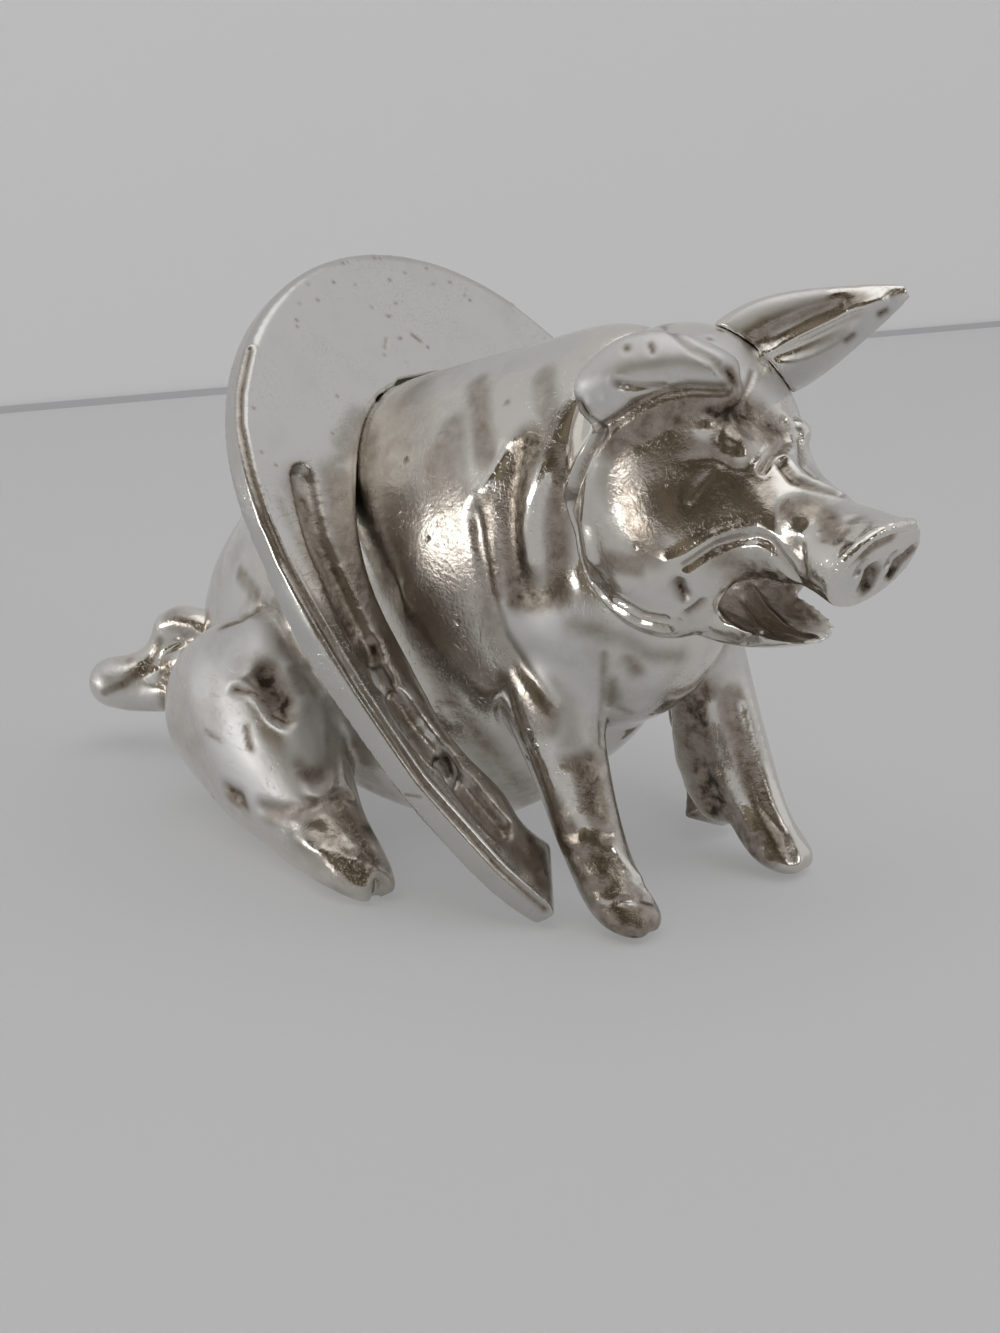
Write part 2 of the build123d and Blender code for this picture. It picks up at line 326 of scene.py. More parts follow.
def lay(piece, name, lines):
    """Lays tarnish with painted dark reflections, or the satin of worn silver, along lines.
    Each has its width in millimetres and its strength, which polishes away if it is below 0."""
    fade = 2.2
    spots = points_of(piece)
    values = layer_of(piece, name)
    for line, wide, strength in lines:
        near, away = near_line(spots, line, wide / 1000 * fade)
        there = strength * np.exp(-(away * 1000 / wide) ** 4)
        if strength > 0:
            values[near] = np.maximum(values[near], there)
        else:
            values[near] = np.maximum(values[near] + there, 0)
    piece.data.attributes[name].data.foreach_set("value", np.clip(values, 0, 1))


def chase(piece, lines):
    """Works the silver along lines. Each has its width, how deep it is sunk (or raised, if below 0),
    the lip beside it, how rough its ground is, and the tarnish left in it. Sizes are in millimetres."""
    spread, lip_place, lip_spread = 3, 1.6, 0.7
    coarse_grain, fine_grain, fine_share = 1700, 3600, 0.6
    spots = points_of(piece)
    facing = normals_of(piece)
    dark = layer_of(piece, "tarnish_and_painted_reflection")
    for line, wide, deep, lip, rough, grime in lines:
        wide, deep, lip, rough = wide / 1000, deep / 1000, lip / 1000, rough / 1000
        near, away = near_line(spots, line, wide * spread)
        share = away / wide
        shape = deep * np.exp(-share ** 2) - lip * np.exp(-((share - lip_place) / lip_spread) ** 2)
        if rough:
            grainy = np.array([noise.noise(Vector(spot) * coarse_grain)
                               + fine_share * noise.noise(Vector(spot) * fine_grain)
                               for spot in spots[near]])
            shape += rough * grainy * np.exp(-share ** 4)
        spots[near] -= facing[near] * shape[:, None]
        if grime > 0:
            dark[near] = np.maximum(dark[near], grime * np.exp(-share ** 2))
    set_points(piece, spots)
    piece.data.attributes["tarnish_and_painted_reflection"].data.foreach_set("value", np.clip(dark, 0, 1))


def photo_lines(piece, work, middle=None):
    """Where lines of the photograph lie on a piece. With a middle, its far side gets them as well."""
    pace, far_share = 14, 0.6
    tree = BVHTree.FromObject(piece, bpy.context.evaluated_depsgraph_get())
    lines = []
    for places, *sizes in work:
        dense = [places[0]]
        for start, end in zip(places, places[1:]):
            steps = max(1, round(math.dist(start, end) / pace))
            dense += [tuple(first + (last - first) * step / steps for first, last in zip(start, end))
                      for step in range(1, steps + 1)]
        hits = [tree.ray_cast(camera_place, photo_ray(*place))[0] for place in dense]
        line = [hit for hit in hits if hit is not None]
        if not line:
            continue
        lines.append((line, *sizes))
        if middle is not None:
            other = [tree.find_nearest(Vector((spot.x, 2 * middle - spot.y, spot.z)))[0] for spot in line]
            lines.append((other, *sizes[:-1], sizes[-1] * far_share))
    return lines


hull = copy_of("torso")
bpy.ops.object.mode_set(mode="EDIT")
bpy.ops.mesh.select_all(action="SELECT")
bpy.ops.mesh.convex_hull()
bpy.ops.object.mode_set(mode="OBJECT")
plug = copy_of("horseshoe")
finish_modifier(plug, "BOOLEAN", operation="INTERSECT", object=hull, solver="EXACT")
bpy.data.objects.remove(hull)
legs = ["right_foreleg", "left_foreleg", "right_hind_leg", "left_hind_leg"]
# The shoe's far heel is soldered to the foreleg beside it
solder_run = [(0.0112, 0.0046, 0.0084), (0.0112, 0.0047, 0.0070), (0.0114, 0.0048, 0.0056),
              (0.0119, 0.0050, 0.0042), (0.0126, 0.0052, 0.0032)]
solder_radius = 0.0014
solder = [ball(place, solder_radius) for place in solder_run]
body_grain = 0.00022
body = grown_skin([copy_of("torso"), plug] + [copy_of(leg) for leg in legs] + solder,
                  "pig_body", body_grain)
relax(body, 20)

# Places in the photograph, then width, depth, lip, rough ground and tarnish. Lists of tarnish with
# painted dark reflections, and satin lists, have width and strength.
neck_folds = [
    ([(474, 500), (488, 482), (502, 460), (511, 443)], 0.55, -0.22, 0, 0, 0),
    ([(545, 470), (533, 500), (528, 530), (533, 562)], 0.60, -0.28, 0, 0, 0),
    ([(514, 455), (510, 500), (512, 550), (520, 592)], 0.70, 0.30, 0, 0, 0),
    ([(562, 465), (557, 520), (560, 560), (567, 588)], 0.50, 0.22, 0, 0, 0.20),
    ([(474, 500), (480, 545), (488, 590), (502, 635), (522, 668), (540, 690), (552, 705)],
     0.35, 0.22, 0, 0, 0.50),
    ([(438, 434), (448, 430), (458, 435)], 0.14, 0.10, 0.03, 0, 0.60),
    ([(478, 385), (474, 405), (480, 430), (492, 450)], 0.70, 0.14, 0, 0, 0.20),
    ([(545, 376), (545, 385), (547, 398)], 0.50, 0.14, 0.04, 0.06, 0.60),
    ([(578, 425), (565, 450), (560, 475)], 0.45, 0.10, 0, 0.03, 0.30),
    ([(507, 402)], 0.16, 0.12, 0, 0, 0.9),
]
# Tarnish in the folds, and broad dark patches on the neck and beside the shoe that are painted
# reflections of the dark room and of the shoe.
neck_tarnish_and_painted_reflection = [
    ([(530, 445), (520, 480), (518, 530), (524, 590)], 1.15, 0.93),
    ([(562, 455), (558, 530), (558, 595)], 0.80, 0.80),
    ([(518, 600), (540, 600), (560, 592)], 0.70, 0.88),
    ([(545, 378), (550, 420), (540, 445)], 0.75, 0.55),
    ([(478, 385), (482, 420), (487, 458)], 0.75, 0.55),
    ([(452, 430), (455, 480), (462, 520), (470, 570)], 0.95, 0.50),
    ([(400, 400), (405, 460), (412, 520), (430, 580), (455, 640)], 2.10, 0.44),
    ([(484, 500), (488, 545), (495, 590)], 0.65, 0.80),
    ([(440, 460), (446, 520), (455, 575)], 1.60, 0.60),
    ([(480, 580), (495, 635), (522, 680), (545, 725)], 0.80, 0.55),
    ([(470, 730), (500, 770), (530, 800)], 1.20, 0.50),
    ([(546, 476), (535, 500), (531, 530), (535, 558)], 0.42, -0.85),
    ([(490, 482), (505, 458)], 0.35, -0.80),
    ([(404, 590), (402, 605)], 0.70, -0.45),
]
satin_places = [
    ([(430, 385), (470, 368), (520, 356), (560, 345)], 1.6, 0.9),
    ([(575, 640), (580, 690), (575, 740)], 1.6, 0.8),
    ([(520, 620), (545, 650), (570, 620), (560, 660)], 1.7, 0.9),
    ([(640, 640), (640, 700)], 1.4, 0.6),
]
breast_lines = [
    ([(630, 660), (638, 672)], 0.45, 0.08, 0, 0.08, 0.65),
    ([(612, 680), (612, 705), (630, 714)], 0.32, 0.08, 0, 0.08, 0.60),
    ([(604, 655), (603, 700), (602, 745)], 0.22, 0.18, 0.03, 0, 0.55),
    ([(575, 625), (600, 632), (625, 640), (650, 655), (680, 655)], 0.50, 0.06, 0, 0.04, 0.50),
    ([(617, 757)], 0.2, 0.1, 0, 0, 0.5),
]
shoe_side = [
    ([(372, 440), (368, 490), (376, 540), (395, 600), (425, 660), (470, 725), (520, 790), (548, 830)],
     0.85, 0, 0, 0.02, 0.60),
    ([(392, 400), (388, 450), (395, 520), (415, 580)], 1.30, 0, 0, 0, 0.42),
    ([(404, 590), (402, 610)], 0.6, -0.10, 0, 0.03, 0.15),
    ([(440, 690), (480, 735), (520, 780)], 0.8, 0, 0, 0.06, 0.40),
]
haunch_lines = [
    ([(234, 689), (250, 692), (264, 702), (273, 716), (288, 722)], 0.24, 0.24, 0.02, 0, 0.95),
    ([(266, 674), (270, 686), (277, 702)], 0.75, 0.45, 0, 0, 1.00),
    ([(278, 700), (284, 716)], 0.60, 0.25, 0, 0, 0.95),
    ([(254, 670), (242, 678), (232, 684)], 0.30, -0.15, 0, 0, 0.10),
    ([(290, 668), (304, 690), (304, 712)], 0.55, -0.15, 0, 0.03, 0.20),
    ([(286, 712)], 0.3, -0.3, 0, 0, 0),
    ([(228, 790), (240, 797), (244, 806)], 0.45, 0.22, 0.04, 0.12, 0.90),
    ([(245, 575), (250, 595)], 0.35, 0.04, 0, 0.06, 0.65),
    ([(222, 627), (242, 620), (262, 605), (275, 612), (284, 640), (298, 660)],
     0.25, 0.16, 0.04, 0.03, 0.65),
    ([(264, 612), (280, 640), (295, 668), (315, 690)], 0.50, 0.08, 0, 0.04, 0.50),
    ([(247, 725), (252, 750)], 0.20, 0.04, 0, 0.03, 0.55),
    ([(205, 730), (222, 742)], 0.20, 0.02, 0, 0.02, 0.25),
    ([(300, 765), (312, 778), (322, 770)], 0.40, 0.10, 0, 0.06, 0.80),
    ([(334, 690), (330, 740), (330, 765), (318, 785)], 0.45, 0.14, 0, 0.04, 0.55),
    ([(262, 806), (285, 812), (310, 808), (335, 800), (365, 790)], 0.40, 0.20, 0.03, 0.09, 0.70),
    ([(345, 745), (365, 775), (395, 800)], 0.9, 0.05, 0, 0.08, 0.45),
    ([(300, 840), (320, 850)], 0.6, -0.22, 0, 0.08, 0.15),
    ([(320, 835), (345, 850), (355, 872)], 0.60, 0.10, 0, 0.12, 0.70),
    ([(300, 872), (325, 886), (350, 895)], 0.50, 0.02, 0, 0.09, 0.30),
    ([(355, 855), (375, 872), (390, 887), (385, 900)], 0.70, -0.08, 0, 0.15, 0.55),
]
foreleg_lines = [
    ([(565, 760), (585, 757), (600, 765)], 0.35, 0.15, 0.03, 0, 0.60),
    ([(568, 832), (590, 828), (608, 836)], 0.40, 0.14, 0.03, 0.06, 0.65),
    ([(575, 845), (590, 870), (605, 892)], 1.20, -0.18, 0, 0.13, 0.62),
    ([(612, 850), (630, 870), (650, 890)], 0.40, -0.18, 0, 0.05, 0.10),
    ([(603, 905), (618, 900), (634, 902), (650, 898)], 0.18, 0.22, 0.06, 0, 0.70),
    ([(640, 893), (650, 900)], 0.25, 0.25, 0, 0, 0.95),
    ([(605, 922), (630, 928), (655, 925)], 0.50, -0.06, 0, 0.10, 0.55),
    ([(700, 705), (702, 735), (712, 765), (722, 790)], 0.40, -0.15, 0, 0.08, 0.10),
    ([(722, 775), (735, 805), (752, 832)], 0.45, -0.22, 0, 0.08, 0.0),
    ([(682, 740), (690, 780), (705, 808)], 0.80, 0.05, 0, 0.12, 0.60),
    ([(735, 850), (760, 845), (780, 850)], 0.60, 0.05, 0, 0.10, 0.55),
    ([(735, 700), (742, 750), (765, 810), (785, 838), (792, 858)], 0.30, 0.18, 0.03, 0, 0.65),
    ([(765, 862), (785, 866)], 0.35, -0.15, 0, 0.03, 0),
]
leg_tarnish = [
    ([(586, 765), (592, 790), (600, 812)], 0.95, 0.84),
    ([(572, 830), (592, 875), (620, 925), (640, 925)], 2.10, 0.84),
    ([(695, 700), (700, 750), (715, 800), (750, 845)], 1.80, 0.88),
    ([(730, 700), (745, 745), (758, 800), (778, 845)], 1.00, 0.80),
    ([(735, 845), (765, 855)], 1.00, 0.78),
    ([(300, 830), (340, 850), (385, 890)], 1.30, 0.45),
    ([(340, 820), (370, 830)], 1.00, 0.75),
]
haunch_tarnish = [
    ([(240, 574), (256, 594)], 0.55, 0.60),
    ([(225, 628), (242, 622), (258, 610)], 0.28, 0.75),
    ([(275, 605), (290, 640), (305, 665)], 0.55, 0.55),
    ([(292, 668), (300, 690)], 0.40, 0.55),
    ([(246, 728), (250, 748)], 0.22, 0.80),
    ([(206, 731), (220, 740)], 0.16, 0.55),
    ([(304, 772), (318, 778)], 0.55, 0.85),
    ([(330, 700), (334, 750), (322, 790)], 0.55, 0.50),
    ([(232, 795), (242, 800)], 0.55, 0.90),
    ([(350, 750), (375, 790), (400, 812)], 1.20, 0.50),
    ([(270, 812), (320, 815), (360, 812)], 0.80, 0.62),
    ([(266, 676), (272, 690), (280, 706)], 0.95, 1.00),
]
haunch_satin = [
    ([(215, 650), (215, 700), (235, 760), (270, 790)], 2.6, 1.0),
    ([(250, 640), (330, 720), (300, 770)], 2.0, 0.9),
    ([(240, 560), (230, 610)], 2.0, 0.9),
]
# The body's and the head's middle lies a little to their right
body_middle = -0.0008
chase(body, photo_lines(body, neck_folds + breast_lines + shoe_side, body_middle))
chase(body, photo_lines(body, haunch_lines, body_middle))
chase(body, photo_lines(body, foreleg_lines))
leg_polish = [
    ([(712, 705), (718, 745), (735, 785), (755, 825)], 0.30, -0.85),
    ([(742, 705), (760, 760), (785, 820)], 0.28, -0.85),
    ([(560, 770), (572, 805), (585, 830)], 0.35, -0.80),
    ([(612, 850), (630, 870), (648, 890)], 0.30, -0.85),
    ([(602, 902), (632, 904)], 0.16, -0.80),
]
lay(body, "tarnish_and_painted_reflection", photo_lines(body, neck_tarnish_and_painted_reflection + haunch_tarnish + leg_tarnish, body_middle))
lay(body, "tarnish_and_painted_reflection", photo_lines(body, leg_polish))
lay(body, "satin", photo_lines(body, satin_places + haunch_satin, body_middle))
relax(body, 2)


def silver(name, colour, grime, shine, scratch, pit, rough):
    """Cast silver: polish with fine scratches, small casting pits, and brown tarnish in the folds, which
    also paints dark reflections where it is laid broadly.
    """
    # The brown and the near-black colours are tarnish and also, where the layer is laid broadly, painted
    # dark reflections of the room.
    worn_silver, brown_tarnish_and_painted_reflection = (0.69, 0.685, 0.675), (0.225, 0.175, 0.125)
    black_tarnish_and_painted_reflection = (0.022, 0.019, 0.014)
    tarnish_rough, scratch_rough, satin_rough = 0.18, 0.08, 0.42
    grain_height, ripple_height, pit_depth = 0.8, 0.55, 1.5
    metal = bpy.data.materials.new(name)
    metal.use_nodes = True
    nodes = metal.node_tree.nodes
    links = metal.node_tree.links
    surface = nodes["Principled BSDF"]
    surface.inputs["Metallic"].default_value = 1.0
    where = nodes.new("ShaderNodeTexCoord")

    def noise_field(scale, detail, roughness, stretch=(1, 1, 1)):
        spread = nodes.new("ShaderNodeMapping")
        spread.inputs["Scale"].default_value = stretch
        field = nodes.new("ShaderNodeTexNoise")
        field.inputs["Scale"].default_value = scale
        field.inputs["Detail"].default_value = detail
        field.inputs["Roughness"].default_value = roughness
        links.new(where.outputs["Object"], spread.inputs["Vector"])
        links.new(spread.outputs["Vector"], field.inputs["Vector"])
        return field.outputs["Fac"]

    def ramp(value, low, high, from_value=0.0, to_value=1.0):
        stretch = nodes.new("ShaderNodeMapRange")
        stretch.inputs["From Min"].default_value = low
        stretch.inputs["From Max"].default_value = high
        stretch.inputs["To Min"].default_value = from_value
        stretch.inputs["To Max"].default_value = to_value
        links.new(value, stretch.inputs["Value"])
        return stretch.outputs["Result"]

    def combine(kind, first, second):
        step = nodes.new("ShaderNodeMath")
        step.operation = kind
        for value, slot in ((first, 0), (second, 1)):
            if isinstance(value, float):
                step.inputs[slot].default_value = value
            else:
                links.new(value, step.inputs[slot])
        return step.outputs[0]

    # Tarnish and painted dark reflections lie where they were laid, and faint clouds of tarnish lie all
    # over
    layer = nodes.new("ShaderNodeAttribute")
    layer.attribute_name = "tarnish_and_painted_reflection"
    clouds = ramp(noise_field(260, 5, 0.6), 0.52, 0.75, 0.0, grime)
    speckle = ramp(noise_field(1500, 4, 0.6), 0.35, 0.65, 0.80, 1.08)
    dark = combine("MULTIPLY", combine("ADD", layer.outputs["Fac"], clouds), speckle)
    dark = ramp(dark, 0.0, 1.0)

    # Casting pits are small round holes, here and there
    cells = nodes.new("ShaderNodeTexVoronoi")
    cells.inputs["Scale"].default_value = 420
    cells.inputs["Randomness"].default_value = 1.0
    links.new(where.outputs["Object"], cells.inputs["Vector"])
    hole = ramp(cells.outputs["Distance"], 0.05, 0.12, 1.0, 0.0)
    few = ramp(noise_field(330, 2, 0.5), 0.56, 0.60)
    pits = combine("MULTIPLY", combine("MULTIPLY", hole, few), pit)

    # Satin is where polish has worn away, and tarnish with painted dark reflections covers it from brown
    # to black
    satin = nodes.new("ShaderNodeAttribute")
    satin.attribute_name = "satin"
    clean = nodes.new("ShaderNodeMix")
    clean.data_type = "RGBA"
    clean.inputs["A"].default_value = (*colour, 1)
    clean.inputs["B"].default_value = (*worn_silver, 1)
    links.new(satin.outputs["Fac"], clean.inputs["Factor"])

    blend = nodes.new("ShaderNodeMix")
    blend.data_type = "RGBA"
    links.new(clean.outputs["Result"], blend.inputs["A"])
    brown = nodes.new("ShaderNodeMix")
    brown.data_type = "RGBA"
    brown.inputs["A"].default_value = (*brown_tarnish_and_painted_reflection, 1)
    brown.inputs["B"].default_value = (*black_tarnish_and_painted_reflection, 1)
    links.new(ramp(dark, 0.80, 1.05), brown.inputs["Factor"])
    links.new(brown.outputs["Result"], blend.inputs["B"])
    links.new(combine("MAXIMUM", dark, pits), blend.inputs["Factor"])
    links.new(blend.outputs["Result"], surface.inputs["Base Color"])

    # Fine scratches run several ways
    lines = None
    for turn in ((1, 14, 5), (12, 1, 9), (6, 11, 1)):
        one = ramp(noise_field(900, 2, 0.5, turn), 0.64, 0.70)
        lines = one if lines is None else combine("MAXIMUM", lines, one)
    lines = combine("MULTIPLY", lines, ramp(noise_field(300, 2, 0.5), 0.45, 0.65))

    gloss = ramp(noise_field(500, 4, 0.6), 0.3, 0.7, shine * 0.6, shine * 1.5)
    gloss = combine("ADD", gloss, combine("MULTIPLY", dark, tarnish_rough))
    gloss = combine("ADD", gloss, combine("MULTIPLY", lines, scratch_rough))
    gloss = combine("ADD", gloss, combine("MULTIPLY", satin.outputs["Fac"], satin_rough))
    links.new(gloss, surface.inputs["Roughness"])

    grain = noise_field(4200, 4, 0.65)
    grain = combine("MULTIPLY", grain, combine("ADD", combine("MULTIPLY", dark, grain_height), rough))
    ripple = combine("MULTIPLY", noise_field(480, 2, 0.5), ripple_height)
    relief = combine("ADD", grain, ripple)
    relief = combine("SUBTRACT", relief, combine("MULTIPLY", lines, scratch))
    relief = combine("SUBTRACT", relief, combine("MULTIPLY", pits, pit_depth))
    bump = nodes.new("ShaderNodeBump")
    bump.inputs["Strength"].default_value = 0.4
    bump.inputs["Distance"].default_value = 0.00012
    links.new(relief, bump.inputs["Height"])
    links.new(bump.outputs["Normal"], surface.inputs["Normal"])
    return metal


def dress(piece, metal):
    piece.data.materials.clear()
    piece.data.materials.append(metal)
    select_only(piece)
    bpy.ops.object.shade_smooth()


body_silver = silver("body_silver", (0.76, 0.735, 0.69),
                     grime=0.30, shine=0.09, scratch=0.3, pit=0.9, rough=0.10)
dress(body, body_silver)
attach(body, "root")
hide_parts("torso", *legs)

# Head
# Cast with the body: skull, cheeks, snout with its disc, the lower lip, and the ear that lies back.
# It bulges over the neck, so its edge is the jowl crease.
skin_grain = 0.00014
head = grown_skin([copy_of("head"), copy_of("lower_jaw"), copy_of("right_ear")], "pig_head", skin_grain)
relax(head, 8)
# The cheek is a smooth round bulge, so it is evened out much more than the rest
cheek = photo_lines(head, [([(640, 470), (700, 500), (690, 580), (630, 570)], 0)])[0][0]
cheek_reach, cheek_round, cheek_edge = 0.006, 0.0026, 1.6
near, away = near_line(points_of(head), cheek, cheek_reach)
soft = np.zeros(len(head.data.vertices))
soft[near] = np.clip(cheek_edge - away / cheek_round, 0, 1)
relax(head, 70, soft)

# Places, width, depth, lip, rough ground and tarnish of each chased line
face_lines = [
    ([(580, 405), (588, 420), (600, 428), (615, 421), (640, 404), (660, 393), (690, 387), (725, 389)],
     0.26, 0.32, 0.03, 0, 0.85),
    ([(592, 404)], 0.26, -0.14, 0, 0, 0),
    ([(606, 400)], 0.26, -0.12, 0, 0, 0),
    ([(628, 392)], 0.32, -0.22, 0, 0, 0),
    ([(618, 382), (640, 386), (665, 385)], 0.16, 0.20, 0.05, 0, 0.75),
    ([(655, 318), (672, 332), (692, 350), (711, 361), (728, 378)], 0.20, 0.13, 0.02, 0, 0.50),
    ([(728, 372), (735, 384)], 0.30, 0.20, 0, 0.06, 0.90),
    ([(710, 338)], 0.16, 0.10, 0, 0, 0.7),
    ([(627, 349)], 0.17, 0.14, 0, 0, 1.0),
    ([(651, 346), (653, 352)], 0.13, 0.10, 0, 0, 0.9),
    ([(590, 385), (630, 370), (680, 362), (715, 368)], 0.90, -0.32, 0, 0, 0),
    ([(640, 445), (655, 437), (672, 428)], 0.22, 0.08, 0, 0, 0.80),
    ([(690, 500), (700, 485), (712, 472)], 0.22, 0.07, 0, 0, 0.60),
    ([(704, 428)], 0.75, -0.35, 0, 0, 0),
    ([(741, 456)], 0.50, -0.20, 0, 0, 0),
    ([(720, 437), (727, 447), (738, 450)], 0.24, 0.12, 0, 0, 0.55),
    ([(683, 461), (705, 459), (722, 464), (740, 468)], 0.24, 0.09, 0, 0, 0.60),
    ([(715, 455), (722, 461)], 0.22, 0.10, 0, 0, 0.8),
    ([(742, 412), (765, 418), (785, 428)], 0.50, 0.35, 0, 0.05, 1.0),
    ([(750, 430), (775, 440)], 0.55, 0.12, 0, 0.04, 0.75),
    ([(785, 420), (788, 440), (770, 458), (762, 470)], 0.22, 0.25, 0.05, 0, 0.90),
    ([(765, 480), (772, 500), (776, 525)], 0.35, 0.10, 0, 0, 0.50),
    ([(753, 371), (746, 390), (741, 405)], 0.13, 0.15, 0.04, 0, 0.80),
    ([(604, 432), (592, 450), (580, 475), (570, 505), (567, 530), (574, 558), (590, 582), (612, 606),
      (638, 622), (665, 628)], 0.26, 0.40, 0.10, 0, 0.70),
    ([(596, 437), (582, 460), (570, 485), (563, 510)], 0.26, -0.22, 0, 0, 0),
    ([(612, 438), (600, 460), (590, 490), (584, 520), (590, 556)], 0.50, -0.25, 0, 0, 0),
    ([(618, 600), (645, 615), (665, 618)], 0.18, 0.18, 0.05, 0, 0.65),
    ([(678, 585), (683, 596)], 0.35, 0.38, 0.04, 0.04, 1.0),
    ([(688, 613), (702, 602)], 0.22, 0.20, 0.05, 0, 0.75),
    ([(686, 566), (700, 556), (715, 547), (735, 540), (757, 537), (770, 542), (783, 560), (800, 582),
      (805, 590)], 0.26, 0.25, 0.04, 0, 0.40),
    ([(668, 562), (690, 552), (712, 537), (740, 528)], 0.35, -0.22, 0, 0, 0),
    ([(725, 560), (745, 570), (760, 580)], 0.9, 0.05, 0, 0.05, 0.66),
    ([(760, 572), (790, 595), (815, 615), (845, 620)], 1.00, 0, 0, 0.08, 0.66),
    ([(752, 588), (765, 609), (785, 628), (805, 636), (832, 639)], 0.22, -0.20, 0, 0, 0),
    ([(745, 600), (762, 622), (780, 636)], 0.22, 0.15, 0, 0, 0.55),
    ([(655, 640), (690, 650), (720, 645), (745, 638)], 0.60, 0.05, 0, 0.06, 0.60),
    ([(700, 655), (735, 651), (765, 632)], 0.20, 0.22, 0.06, 0, 0.70),
    ([(783, 464), (795, 479), (815, 486), (838, 493)], 0.30, 0.35, 0.08, 0, 0.95),
    ([(800, 440), (802, 465), (815, 478)], 0.15, 0.20, 0.05, 0, 0.75),
    ([(803, 515)], 1.00, -0.25, 0, 0, 0),
    ([(777, 522), (786, 506), (803, 499), (822, 503), (834, 522)], 0.42, 0, 0, 0.02, 0.60),
    ([(822, 535), (835, 538), (845, 530)], 0.30, 0.12, 0, 0, 0.65),
    ([(850, 520), (857, 517)], 0.25, 0.12, 0, 0, 0.7),
    ([(845, 562), (858, 547), (880, 532), (912, 523)], 0.25, -0.25, 0.04, 0, 0),
    ([(858, 560), (872, 546), (892, 536)], 0.22, 0.22, 0, 0, 0.75),
    ([(871, 546)], 0.28, 0.20, 0, 0, 0.95),
    ([(872, 570), (865, 586)], 0.35, 0.45, 0.05, 0, 1.0),
    ([(889, 576), (898, 562), (911, 549)], 0.20, 0.40, 0.05, 0, 1.0),
    ([(800, 545), (803, 570), (808, 590)], 0.25, 0.15, 0, 0.03, 0.5),
]
# Tarnish in the hollows, and broad brown over the brow and the top of the cheek that is partly painted
# reflection.
face_tarnish_and_painted_reflection = [
    ([(618, 445), (650, 422), (690, 410), (735, 412), (765, 430)], 1.25, 0.82),
    ([(635, 460), (690, 450), (735, 450)], 1.25, 0.72),
    ([(622, 485), (665, 480), (700, 488), (745, 490)], 1.40, 0.60),
    ([(655, 515), (695, 520), (740, 510)], 1.10, 0.52),
    ([(760, 425), (775, 450)], 0.60, 0.70),
    ([(745, 470), (765, 495), (768, 520)], 0.60, 0.60),
    ([(628, 495), (640, 525), (650, 550)], 0.95, 0.75),
    ([(612, 562), (635, 566)], 0.60, 0.75),
    ([(704, 428)], 0.55, -0.80),
    ([(741, 456)], 0.35, -0.60),
    ([(786, 512), (806, 504), (826, 516), (834, 532)], 0.60, 0.80),
    ([(790, 540), (805, 560), (808, 580)], 0.40, 0.60),
    ([(740, 570), (775, 590), (815, 612), (845, 622)], 1.10, 0.60),
    ([(871, 570), (865, 586)], 0.50, 1.0),
    ([(889, 576), (898, 562), (911, 549)], 0.26, 1.0),
    ([(862, 556), (872, 546), (890, 537)], 0.26, 0.85),
]
face_satin = [
    ([(590, 375), (600, 345), (650, 340), (700, 345), (730, 352)], 1.9, 1.0),
    ([(760, 395), (775, 385)], 0.8, 0.8),
    ([(810, 470), (840, 510), (880, 515)], 1.0, 0.7),
    ([(850, 580), (880, 570), (905, 555)], 1.0, 0.6),
    ([(640, 600), (700, 590)], 0.9, 0.5),
]
chase(head, photo_lines(head, face_lines))
lay(head, "tarnish_and_painted_reflection", photo_lines(head, face_tarnish_and_painted_reflection, body_middle))
lay(head, "satin", photo_lines(head, face_satin, body_middle))
relax(head, 1)
dress(head, body_silver)
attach(head, "root")
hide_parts("head", "lower_jaw", "right_ear")

# Pricked ear
# A thin pointed flap of silver with a channel along its front, cast apart and soldered to the far
# side of the crown. Its root is dark with tarnish, and its two edges are worn to satin.
ear_grain = 0.00013
far_ear = grown_skin([copy_of("left_ear")], "pricked_ear", ear_grain)
relax(far_ear, 4)
chase(far_ear, photo_lines(far_ear, [
    ([(765, 353), (800, 334), (850, 310), (880, 300)], 0.32, -0.28, 0, 0, 0),
    ([(760, 340), (800, 318), (840, 304)], 0.45, 0.16, 0, 0.02, 0.60),
    ([(766, 362), (776, 378), (785, 395)], 0.60, 0.30, 0, 0, 0.95),
    ([(846, 340), (853, 335)], 0.16, 0.10, 0, 0, 0.9),
    ([(880, 314), (886, 311)], 0.18, 0.12, 0, 0, 0.9),
]))
lay(far_ear, "tarnish_and_painted_reflection", photo_lines(far_ear, [
    ([(750, 340), (780, 322), (830, 306), (860, 300)], 0.50, 0.72),
    ([(764, 362), (778, 382), (788, 398)], 0.60, 0.95),
    ([(775, 350), (805, 335), (850, 312), (875, 303)], 0.22, -0.8),
]))
lay(far_ear, "satin", photo_lines(far_ear, [
    ([(800, 372), (850, 338), (890, 312)], 0.90, 1.0),
    ([(725, 330), (760, 310), (820, 294)], 0.50, 0.9),
]))
dress(far_ear, body_silver)
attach(far_ear, "root")
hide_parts("left_ear")

# Tail
# A thick curl of silver, soldered to the rump in two places. It rises from the rump, turns down and
# back to a fat round bend, and returns to the rump below. Balls along its run are grown together as
# one skin.

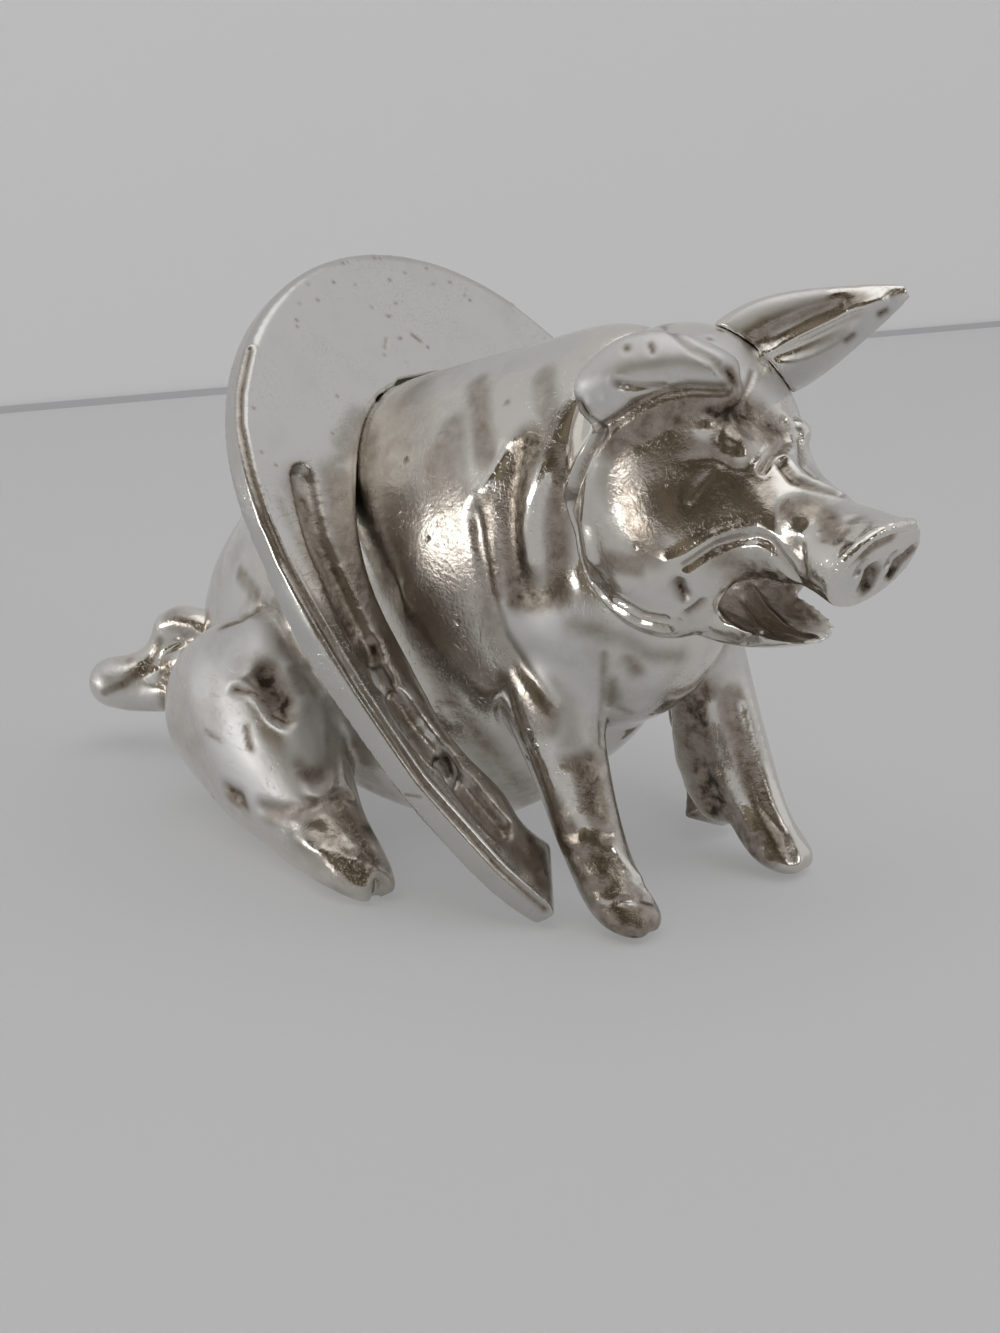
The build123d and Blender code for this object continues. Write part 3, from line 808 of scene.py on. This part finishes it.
# Places in the photograph, radius in millimetres, and how much nearer than the root in millimetres
tail_run = [
    (212, 632, 1.15, -0.6), (198, 625, 1.15, -1.0), (182, 622, 1.15, -1.6), (171, 627, 1.15, -2.1),
    (168, 640, 1.15, -2.6), (162, 655, 1.20, -3.1), (148, 670, 1.40, -3.7), (130, 680, 1.65, -4.1),
    (115, 682, 1.70, -4.3), (132, 688, 1.55, -4.0), (150, 690, 1.45, -3.4), (168, 690, 1.45, -2.7),
    (186, 688, 1.45, -1.9), (205, 685, 1.50, -1.0), (178, 665, 1.10, -1.6), (195, 660, 1.30, -1.0),
    (210, 660, 1.50, -0.6),
]
tail_depth = (Vector((-0.0210, -0.0072, 0.0060)) - camera_place).length
balls = []
for start, end in zip(tail_run, tail_run[1:]):
    for share in (0.0, 0.5):
        across, down, radius, nearer = (first + (last - first) * share for first, last in zip(start, end))
        spot = camera_place + photo_ray(across, down) * (tail_depth - nearer / 1000)
        balls.append(ball(spot, radius / 1000))
tail = grown_skin(balls, "curled_tail", skin_grain)
relax(tail, 22)
chase(tail, photo_lines(tail, [([(166, 665), (170, 690), (178, 712)], 0.70, 0.05, 0, 0.12, 0.85)]))
lay(tail, "tarnish_and_painted_reflection", photo_lines(tail, [
    ([(158, 612), (185, 625), (192, 645)], 0.80, 0.55),
    ([(160, 640), (150, 662), (125, 683), (104, 692)], 0.30, 0.75),
    ([(165, 670), (172, 705)], 0.90, 0.80),
    ([(112, 655), (130, 660)], 0.30, 0.40),
]))
lay(tail, "satin", photo_lines(tail, [([(100, 670), (120, 690), (145, 700)], 1.1, 0.9)]))
dress(tail, body_silver)
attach(tail, "root")
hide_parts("tail")

# Horseshoe
# A flat silver bar bent to an arch, with fullers and nail holes cut in its two branches. It is
# soldered round the belly, its edges are worn round, and old tarnish stays in the cuts.
shoe = grown_skin([copy_of("horseshoe")], "lucky_horseshoe", skin_grain)
relax(shoe, 14)
face_pits = [(375, 258), (343, 263), (334, 282), (390, 280), (396, 303), (388, 316), (297, 320),
             (401, 338), (428, 347), (254, 408), (262, 452), (276, 465), (333, 433), (337, 396),
             (318, 300), (450, 282), (470, 300)]
shoe_lines = [([place], 0.10, 0.05, 0, 0, 0.9) for place in face_pits] + [
    ([(424, 260), (427, 268)], 0.10, 0.06, 0, 0, 0.8),
    ([(412, 334), (421, 341)], 0.10, 0.06, 0, 0, 0.8),
    ([(294, 482), (300, 505), (312, 530), (325, 560), (345, 600), (362, 630)], 0.48, 0.05, 0, 0.02, 0.80),
    ([(372, 648), (374, 660)], 0.45, 0.15, 0.05, 0, 1.0),
    ([(380, 675), (398, 705), (415, 730)], 0.35, 0.05, 0, 0.02, 0.60),
    ([(446, 760), (450, 776)], 0.45, 0.15, 0.05, 0, 1.0),
    ([(470, 790), (490, 815), (507, 838)], 0.40, 0.05, 0, 0.02, 0.70),
    ([(322, 475), (335, 462), (352, 447), (362, 430)], 0.50, 0, 0, 0.02, 0.45),
    ([(335, 500), (345, 540), (365, 590), (392, 640)], 0.60, 0, 0, 0.02, 0.45),
    ([(365, 425), (378, 400), (400, 385), (435, 377)], 0.24, 0.15, 0, 0, 0.85),
    ([(362, 455), (368, 500), (385, 560), (410, 610)], 0.24, 0.08, 0, 0, 0.60),
    ([(280, 500), (300, 545), (330, 600), (365, 660), (405, 715)], 0.35, 0, 0, 0.02, 0.40),
    ([(400, 700), (430, 745), (470, 800), (510, 850)], 0.40, 0, 0, 0.02, 0.45),
    ([(249, 350), (240, 395), (240, 425), (250, 470), (265, 520), (280, 555), (300, 590), (360, 690),
      (420, 780), (500, 870), (545, 910)], 0.20, 0.14, 0.05, 0, 0.90),
    ([(440, 720), (470, 765), (500, 805), (530, 840)], 0.35, 0, 0, 0.02, 0.45),
    ([(520, 850), (535, 868), (545, 885)], 0.55, 0.05, 0, 0.02, 0.75),
    ([(555, 850), (560, 880), (556, 910)], 0.45, -0.10, 0, 0, 0),
    ([(405, 795), (420, 797)], 0.10, 0.06, 0, 0, 0.75),
    ([(395, 660), (408, 680), (425, 700)], 0.45, -0.05, 0, 0, 0),
]
chase(shoe, photo_lines(shoe, shoe_lines, 0.0))
lay(shoe, "tarnish_and_painted_reflection", photo_lines(shoe, [
    ([(300, 495), (325, 560), (365, 630), (410, 700), (455, 770), (510, 840)], 1.60, 0.58),
    ([(335, 480), (350, 560), (390, 630), (440, 710), (500, 790)], 1.20, 0.60),
    ([(345, 445), (360, 420)], 0.90, 0.45),
    ([(300, 500), (320, 550), (355, 620)], 0.62, 0.85),
    ([(383, 678), (412, 724)], 0.50, 0.80),
    ([(474, 792), (505, 836)], 0.50, 0.85),
    ([(350, 680), (370, 708)], 0.35, -0.70),
    ([(400, 665), (415, 690)], 0.60, -0.60),
    ([(425, 725), (432, 740)], 0.40, -0.50),
    ([(555, 855), (560, 885)], 0.70, -1.0),
    ([(530, 840), (540, 880)], 0.50, 0.85),
], 0.0))
lay(shoe, "tarnish_and_painted_reflection", photo_lines(shoe, [([(662, 715), (672, 760), (688, 805)], 1.9, 0.90)]))
lay(shoe, "satin", photo_lines(shoe, [([(552, 862), (560, 895)], 0.9, 1.0)]))
shoe_silver = silver("shoe_silver", (0.62, 0.61, 0.585),
                     grime=0.10, shine=0.20, scratch=0.15, pit=0.7, rough=0.04)
dress(shoe, shoe_silver)
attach(shoe, "root")
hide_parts("horseshoe")
